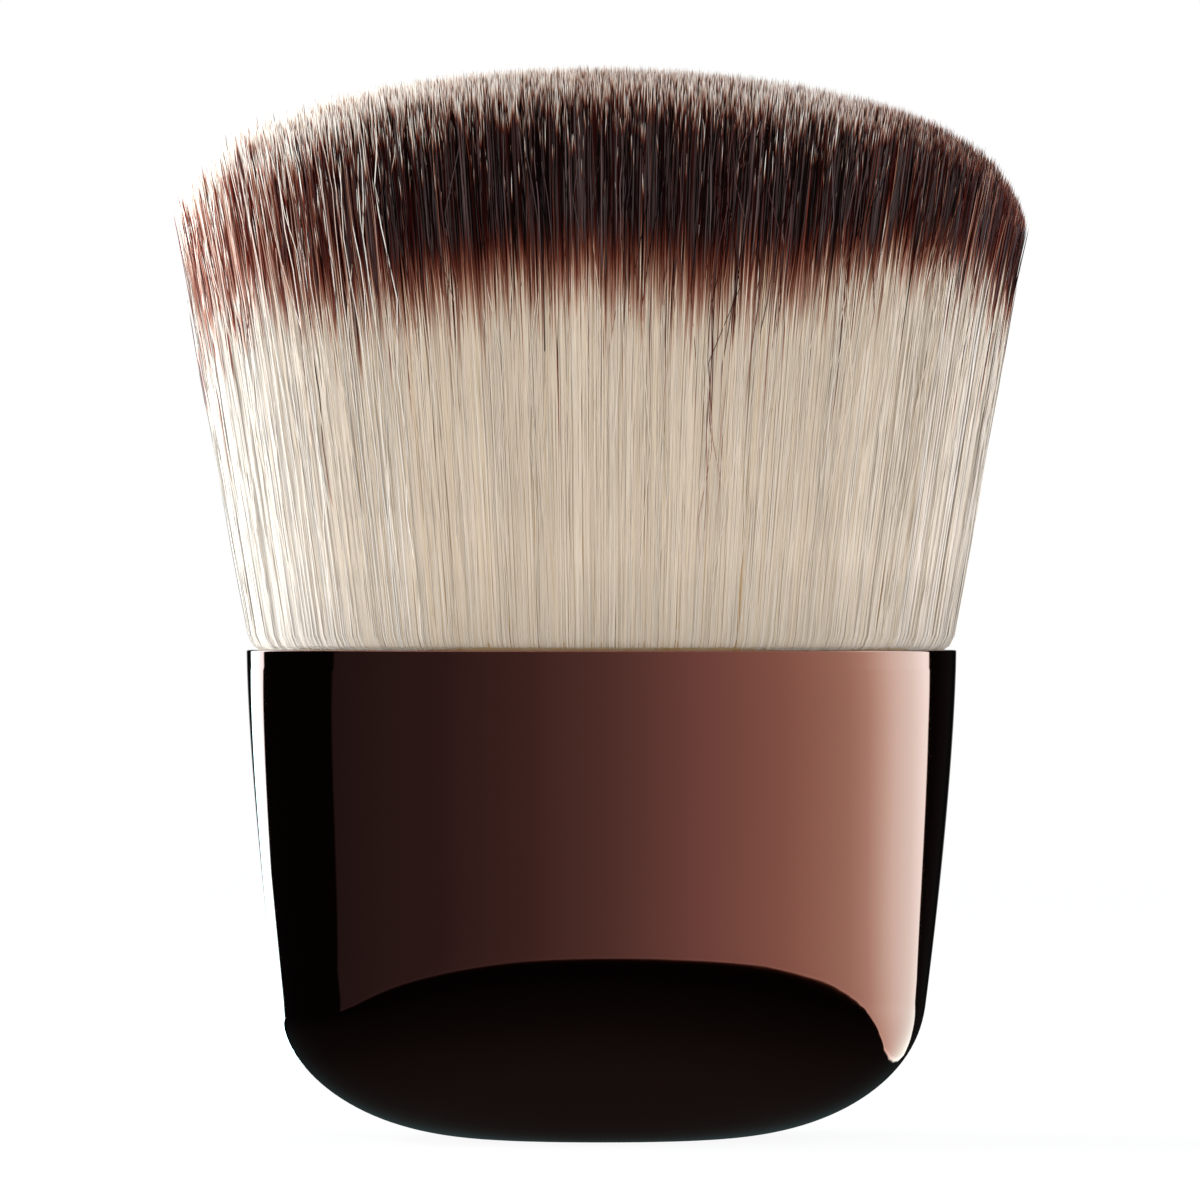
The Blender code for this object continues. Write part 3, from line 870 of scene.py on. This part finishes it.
def ring_heights(shape, tips):
    """How high each ring of each strand lies, from its lowest up to its tip."""
    if not shape.full_length:
        return tips[:, None] - np.array(CROWN_DEPTHS)
    mouth = np.broadcast_to(MOUTH_HEIGHTS, (len(tips), len(MOUTH_HEIGHTS)))
    steps = np.arange(MIDDLE_RINGS) / MIDDLE_RINGS
    middle = MIDDLE_HEIGHT + (tips[:, None] - SHELL_DEPTHS[0] - MIDDLE_HEIGHT) * steps
    return np.concatenate([mouth, middle, tips[:, None] - np.array(SHELL_DEPTHS)], axis=1)


def grow(kind, hair, places, shape, dye):
    """Grows one kind of strand, as a mesh for each sector of the oval."""
    across, out = places
    count = len(across)
    side = across * CROWN_HALVES[0]
    tail = shape.tail * np.interp(side, DYE_SIDES, TAIL_SHARES)
    short = np.abs(random.normal(0.0, SHORT_SPREAD, count)) + random.exponential(1.0, count) * tail
    short = np.minimum(short, MOST_SHORT)
    tips = crown_height(across, out) - short - np.interp(side, EDGE_SIDES, EDGE_DROPS)
    heights = ring_heights(shape, tips)
    depths = tips[:, None] - heights
    thick = shape.thick_share * random.uniform(*STRAND_RADII, count)
    radii = thick[:, None] * np.interp(depths, TAPER_DEPTHS, TAPER_SHARES)
    proud = random.exponential(shape.proud, count)
    centres = strand_paths(across, out, heights, tips, shape, proud)
    facing = facing_of(across, out, depths)
    column, starts, stretch = dye_of(across, dye, short)
    along = dye_along(depths, starts, stretch)
    turn = (np.arctan2(out, across) / (2.0 * math.pi)) % 1.0
    sector = np.minimum((turn * SECTORS).astype(int), SECTORS - 1)
    for number in range(SECTORS):
        held = sector == number
        if not held.any():
            continue
        name = f"hair_{kind}_{number:02d}"
        strands = [values[held] for values in (centres, radii, facing, column, along)]
        piece = add_piece(name, strand_mesh(name, *strands), hair)
        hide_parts("bristle_tuft")


def front_places(span, count):
    """Places of loose strands along a span of the tuft's front."""
    across = random.uniform(*span, count)
    out = -LOOSE_SHARES[0] * (1.0 - np.abs(across) ** OVAL_POWER) ** (1.0 / OVAL_POWER)
    return across, out


def tuft_core(hair):
    """The mass of hair inside: from the root slice up through the cup to under the crown."""
    turns = np.linspace(0.0, 2.0 * math.pi, CORE_COLUMNS, endpoint=False)
    across, out = on_oval(turns)
    rings = [tuft_ring(across, out, np.full(CORE_COLUMNS, ROOT_BOTTOM))]
    edge = crown_height(across * CORE_SHARE, out * CORE_SHARE) - CORE_DEPTH
    for share in np.arange(CORE_ROWS + 1) / CORE_ROWS:
        heights = ROOT_TOP + (edge - ROOT_TOP) * share
        narrow = np.interp(heights, CORE_MOUTH, (1.0, CORE_MOUTH_SHARE))
        narrow = np.minimum(narrow, 1.0 - (1.0 - CORE_SHARE) * share)
        rings.append(tuft_ring(across * narrow, out * narrow, heights))
    wall_rings = len(rings)
    for share in CORE_SHARE * (1.0 - np.arange(1, CORE_CAP_ROWS) / CORE_CAP_ROWS):
        heights = crown_height(across * share, out * share) - CORE_DEPTH
        rings.append(tuft_ring(across * share, out * share, heights))
    rings = np.array(rings)
    depths = np.maximum(crown_height(across, out) - rings[:, :, 2], CORE_DEPTH)
    depths[wall_rings:] = CORE_DEPTH
    # The core's low tone paints shade between the strands
    column, starts, stretch = dye_of(across, CORE_DYE_AND_SHADE)
    levels = dye_place(dye_along(depths.T, starts, stretch)).T
    left, _, right = ((column + share) / DYE_COLUMNS for share in COLUMN_SHARES)
    mesh = loft("tuft_core", rings, (left, right, levels, levels[0], levels[-1]))
    made = add_piece("tuft_core", mesh, hair)
    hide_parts("bristle_tuft")


def dress_tuft():
    """The tuft: a closed core that fills the cup and the mouth, and strands over all of it."""
    hair = dipped_hair()
    tuft_core(hair)
    shell = scattered(SHELL_STRANDS, *SHELL_SHARES)
    share = (np.abs(shell) ** OVAL_POWER).sum(axis=0) ** (1.0 / OVAL_POWER)
    # Inner shell strands get a lower tone as painted shade
    shell_dye_and_shade = Dye(np.interp(share, SHELL_SHADE_TONES_BETWEEN, SHELL_SHADE_TONES), SHELL_TONE_SPREAD)
    grow("shell", hair, shell, SHELL_SHAPE, shell_dye_and_shade)
    grow("crown", hair, scattered(CROWN_STRANDS, 0.0, SHELL_SHARES[0]), CROWN_SHAPE, CROWN_DYE)
    grow("loose", hair, scattered(LOOSE_STRANDS, *LOOSE_SHARES), LOOSE_SHAPE, LOOSE_DYE)
    grow("dark", hair, front_places(DARK_ACROSS, DARK_STRANDS), DARK_SHAPE, DARK_DYE)
    grow("pale", hair, front_places(PALE_ACROSS, PALE_STRANDS), PALE_SHAPE, PALE_DYE)


def dress_inside():
    """Finishes for the pieces that the handle hides."""
    finishes = {
        "weight_block": zinc_plate,
        "insert_core": black_moulding,
        "tuft_cup": drawn_aluminium,
        "resin_plug": potting_resin,
        "binding_band": wound_thread,
    }
    for name, make in finishes.items():
        piece = frame["nodes"][name]
        piece.data.materials.clear()
        piece.data.materials.append(make())


# The studio: a round floor, and a reflecting wall and board that only gloss sees
ROUND_SIDES = 96
FLOOR_RADIUS = 4.0
FLOOR_RISE = -0.00005
WALL_RADIUS = 0.45
WALL_TOP = 0.75
BOARD_RISE = 0.00002

# What they show goes by heading, in degrees round the brush from straight before it, and by
# nearness: one over the distance from its middle, fading to nothing at this height
CARD_FOOT = 0.028
NEAREST = 32.0

# Glows are written as strengths, and a ramp holds them as shares of this level
CARD_LEVEL = 10.0

# The graded card, by heading. Nearer the brush its headings open out.
CARD_STOPS = (
    (-58.0, (0.05, 0.062, 0.07)),
    (-27.0, (0.085, 0.093, 0.101)),
    (-10.0, (0.153, 0.153, 0.153)),
    (0.0, (0.26, 0.26, 0.26)),
    (13.0, (0.51, 0.49, 0.49)),
    (31.0, (0.79, 0.81, 0.73)),
    (50.0, (1.13, 1.38, 1.23)),
    (58.0, (1.42, 1.9, 1.77)),
    (65.0, (1.84, 2.95, 2.83)),
    (71.5, (2.2, 3.9, 4.0)),
    (85.0, (2.6, 5.25, 5.6)),
    (93.0, (3.05, 6.5, 7.2)),
    (98.0, (3.3, 7.3, 8.2)),
)
SPREAD_FAR = 0.975
SPREAD_SLOPE = 0.024
SPREAD_MOST = 0.29

# How its colour falls off further round and nearer the brush
FALLOFF_STOPS = (
    (78.0, (1.0, 1.0, 1.0)),
    (88.0, (0.98, 0.93, 0.92)),
    (98.0, (0.93, 0.81, 0.78)),
    (108.0, (0.85, 0.64, 0.59)),
    (120.0, (0.76, 0.46, 0.40)),
)
NEAR_STOPS = (
    (14.0, (1.0, 1.0, 1.0)),
    (30.0, (0.81, 0.62, 0.57)),
)

# Where it ends: at the left by a heading that nearness moves a little, at the right by this table
LEFT_EDGE = -58.8
LEFT_EDGE_MOST = 10.0
RIGHT_EDGES = (
    (0.0, 100.5),
    (2.2, 103.0),
    (6.4, 110.0),
    (10.0, 116.0),
    (13.5, 117.6),
    (21.2, 116.5),
    (26.0, 118.5),
    (29.0, 121.0),
)
EDGE_BLUR = 0.5

# Black cloth beyond it, paler straight behind the brush
CLOTH = (0.004, 0.004, 0.004)
BEHIND_STOPS = (
    (-180.0, (0.9, 0.9, 0.9)),
    (-168.0, (0.35, 0.35, 0.35)),
    (-160.0, CLOTH),
    (105.0, CLOTH),
    (122.0, (0.011, 0.011, 0.011)),
    (138.0, (0.011, 0.011, 0.011)),
    (150.0, CLOTH),
    (160.0, CLOTH),
    (168.0, (0.35, 0.35, 0.35)),
    (180.0, (0.9, 0.9, 0.9)),
)

# The strip at the left: its two edges by heading, and how far nearness moves them
STRIP_COLOUR = (2.9, 4.7, 5.1)
STRIP_START = 114.3
STRIP_START_SLOPE = 2.6
STRIP_START_MOST = 12.6
STRIP_END = 143.0
STRIP_END_SLOPE = 6.0
STRIP_BLUR = 0.7

# The black board: how far out it reaches by heading, and its glow by distance as shares of this
# span. The cards are a little brighter along its edge.
BOARD_SPAN = 0.1
BOARD_OUTLINE = (
    (-70.0, 0.0660),
    (-58.0, 0.0705),
    (-44.0, 0.0765),
    (-14.0, 0.0856),
    (13.0, 0.0890),
    (32.0, 0.0955),
    (52.0, 0.0905),
    (65.0, 0.0790),
    (70.0, 0.0720),
    (75.0, 0.0545),
    (80.5, 0.0400),
    (86.0, 0.0325),
    (94.0, 0.0300),
    (103.0, 0.0300),
    (113.0, 0.0320),
    (121.0, 0.0365),
)
BOARD_STOPS = (
    (0.15, (0.030, 0.046, 0.047)),
    (0.30, (0.014, 0.020, 0.020)),
    (0.60, (0.004, 0.005, 0.005)),
    (0.90, (0.001, 0.001, 0.001)),
)
BOARD_BLUR = 0.0004
BRIGHT_RIM_REACH = 1.04
BRIGHT_RIM_SHARE = 0.25


def glowing(name):
    """A material without a Principled shader, its output and a signal."""
    made = bpy.data.materials.new(name)
    made.use_nodes = True
    tree = made.node_tree
    tree.nodes.remove(tree.nodes["Principled BSDF"])
    return made, tree.nodes["Material Output"], Signal(tree)


def over(value, blur):
    """0 where a value is under 0 and 1 where it is over it, with a soft step between."""
    return value.between(-blur, blur, soft=True)


def by_heading(heading, stops, level):
    """A ramp round the brush: stops by heading in degrees, as shares of a level."""
    turns = [(angle / 360 + 0.5, tuple(v / level for v in colour)) for angle, colour in stops]
    return (heading / 360.0 + 0.5).ramp(turns)


def by_nearness(nearness, stops):
    return (nearness / NEAREST).ramp([(near / NEAREST, colour) for near, colour in stops])


def graded_card(heading, nearness):
    """The card on the right and before the brush, with cloth where it ends."""
    spread = (SPREAD_SLOPE * nearness).at_most(SPREAD_MOST) + SPREAD_FAR
    card = by_heading(heading / spread, CARD_STOPS, CARD_LEVEL)
    card = card.times(by_heading(heading, FALLOFF_STOPS, 1.0))
    card = card.times(by_nearness(nearness, NEAR_STOPS))
    limits = [(near, grey(angle / 360)) for near, angle in RIGHT_EDGES]
    past_right = over(heading - by_nearness(nearness, limits) * 360.0, EDGE_BLUR)
    past_left = over(heading + nearness.at_most(LEFT_EDGE_MOST) - LEFT_EDGE, EDGE_BLUR)
    cloth = by_heading(heading, BEHIND_STOPS, CARD_LEVEL)
    return (past_left * (1.0 - past_right)).mix(cloth, card)


def side_strip(heading, nearness):
    """1 on the strip at the left and 0 beside it."""
    leftward = heading * -1.0
    moved = (STRIP_START_SLOPE * nearness).at_most(STRIP_START_MOST)
    past_start = over(leftward - moved - STRIP_START, STRIP_BLUR)
    past_end = over(leftward - STRIP_END_SLOPE * nearness - STRIP_END, STRIP_BLUR)
    return past_start * (1.0 - past_end)


def card_light():
    """What the handle's gloss mirrors: a graded card on the right and before it, a strip at the
    left, black cloth between them and a black board under the brush."""
    made, output, signal = glowing("card_light")
    x, y, z = signal.parts("ShaderNodeSeparateXYZ", {"Vector": object_place(signal)})
    heading = x.maths("ARCTAN2", x, y * -1.0) * (180.0 / math.pi)
    reach = length_of(signal.node("ShaderNodeCombineXYZ", None, {0: x, 1: y}))
    nearness = (1.0 - z / CARD_FOOT).at_least(0.0) / reach
    strip_colour = (*(value / CARD_LEVEL for value in STRIP_COLOUR), 1.0)
    cards = side_strip(heading, nearness).mix(graded_card(heading, nearness), strip_colour)

    limits = [(angle, grey(far)) for angle, far in BOARD_OUTLINE]
    outline = by_heading(heading, limits, BOARD_SPAN) * BOARD_SPAN
    past_board = over(reach - outline, BOARD_BLUR)
    rim = past_board - over(reach - BRIGHT_RIM_REACH * outline, BOARD_BLUR)
    cards = cards.times(1.0 + BRIGHT_RIM_SHARE * rim)
    dark_stops = [(place, tuple(v / CARD_LEVEL for v in colour)) for place, colour in BOARD_STOPS]
    colour = past_board.mix((reach / BOARD_SPAN).ramp(dark_stops), cards)
    glow = signal.node("ShaderNodeEmission", None, {"Color": colour, "Strength": CARD_LEVEL})
    signal.feed(output.inputs["Surface"], glow)
    made.cycles.emission_sampling = "NONE"
    return made


def gloss_only(item):
    """Leaves an object visible in reflections and nowhere else."""
    item.visible_camera = False
    item.visible_diffuse = False
    item.visible_transmission = False
    item.visible_volume_scatter = False
    item.visible_shadow = False


def add_stage(name, points, faces, finish):
    """A mesh that belongs to the studio and not to the brush."""
    mesh = bpy.data.meshes.new(name)
    mesh.from_pydata(points, [], faces)
    mesh.materials.append(finish)
    made = bpy.data.objects.new(name, mesh)
    bpy.context.scene.collection.objects.link(made)
    return made


def circle(radius, height):
    turns = np.linspace(0.0, 2.0 * math.pi, ROUND_SIDES, endpoint=False)
    return [(radius * math.cos(t), radius * math.sin(t), height) for t in turns]


def set_cards():
    """The board and the wall round it, as one mesh."""
    points = circle(WALL_RADIUS, BOARD_RISE) + circle(WALL_RADIUS, WALL_TOP)
    low = range(ROUND_SIDES)
    faces = [list(low)]
    for left in low:
        right = (left + 1) % ROUND_SIDES
        faces.append((left, right, ROUND_SIDES + right, ROUND_SIDES + left))
    gloss_only(add_stage("reflecting_cards", points, faces, card_light()))


# The floor fades into the background between these distances, and keeps the shadow near the brush
FLOOR_FADE = (0.1, 0.9)
LEAST_FADE = 0.93
FLOOR_GRAIN = 300.0
FLOOR_TONES = ((0.80, 0.80, 0.80, 1.0), (0.84, 0.84, 0.84, 1.0))


def seen_directly(signal):
    """1 for what the camera sees, also in a mirror or through glass, and 0 for other light."""
    rays = signal.node("ShaderNodeLightPath").socket.node.outputs
    camera, gloss, through = (
        Signal(signal.tree, rays[name])
        for name in ("Is Camera Ray", "Is Glossy Ray", "Is Transmission Ray")
    )
    return (camera + gloss + through).at_most(1.0)


def pale_floor():
    """Matt white, which turns into the background's plain white further out."""
    made, output, signal = glowing("pale_floor")
    place = object_place(signal)
    far = length_of(place).between(*FLOOR_FADE, LEAST_FADE, soft=True)
    tint = noise(signal, place, FLOOR_GRAIN).mix(*FLOOR_TONES)
    matt = signal.node("ShaderNodeBsdfDiffuse", None, {"Color": tint})
    glow = signal.node("ShaderNodeEmission", None, {"Strength": 1.0})
    faded = {0: seen_directly(signal) * far, 1: matt, 2: glow}
    signal.feed(output.inputs["Surface"], signal.node("ShaderNodeMixShader", None, faded))
    return made


# The world is white to the eye and lights the brush with this strength
AMBIENT = 0.38

# Each lamp's name, place, size in metres, watts and colour, and where all of them aim
LAMPS = (
    ("key_left", (-0.735, 0.120, 0.30), (0.45, 0.60), 14.6, (0.94, 1.0, 1.04)),
    ("fill_right", (0.686, 0.045, 0.30), (0.45, 0.60), 5.4, (0.88, 1.0, 1.2)),
    ("front", (0.0, -0.70, 0.40), (0.60, 0.50), 2.35, (1.0, 1.0, 1.0)),
    ("top", (0.0, -0.05, 0.75), (0.40, 0.40), 0.8, (1.0, 1.0, 1.0)),
)
LAMP_AIM = (0.0, 0.0, 0.05)


def hang_lamp(name, place, size, power, colour):
    lamp = bpy.data.lights.new(name, "AREA")
    lamp.shape = "RECTANGLE"
    lamp.size, lamp.size_y = size
    lamp.energy = power
    lamp.color = colour
    made = bpy.data.objects.new(name, lamp)
    made.location = place
    made.rotation_mode = "QUATERNION"
    made.rotation_quaternion = (Vector(LAMP_AIM) - Vector(place)).to_track_quat("-Z", "Y")
    made.visible_glossy = False
    bpy.context.scene.collection.objects.link(made)


def light_world():
    world = bpy.data.worlds.new("studio")
    world.use_nodes = True
    bpy.context.scene.world = world
    signal = Signal(world.node_tree)
    background = world.node_tree.nodes["Background"]
    background.inputs["Color"].default_value = (1.0, 1.0, 1.0, 1.0)
    strength = seen_directly(signal) * (1.0 - AMBIENT) + AMBIENT
    signal.feed(background.inputs["Strength"], strength)


def build_studio():
    """Floor, cards, world and lamps."""
    add_stage("floor", circle(FLOOR_RADIUS, FLOOR_RISE), [list(range(ROUND_SIDES))], pale_floor())
    set_cards()
    light_world()
    for lamp in LAMPS:
        hang_lamp(*lamp)


def build_camera():
    """A level camera whose frame holds the photograph's pixels for each metre at the brush."""
    lens = bpy.data.cameras.new("camera")
    lens.sensor_width = SENSOR_MM
    lens.lens = SENSOR_MM * abs(EYE[1]) * PIXELS_PER_METRE / FRAME_PIXELS
    lens.clip_start = CLIP_START
    lens.clip_end = CLIP_END
    made = bpy.data.objects.new("camera", lens)
    made.location = EYE
    made.rotation_euler = (0.5 * math.pi, 0.0, 0.0)
    bpy.context.scene.collection.objects.link(made)
    bpy.context.scene.camera = made


build_camera()
dress_handle()
dress_inside()
dress_tuft()
build_studio()
bpy.context.scene.view_settings.view_transform = "Standard"
bpy.context.view_layer.update()
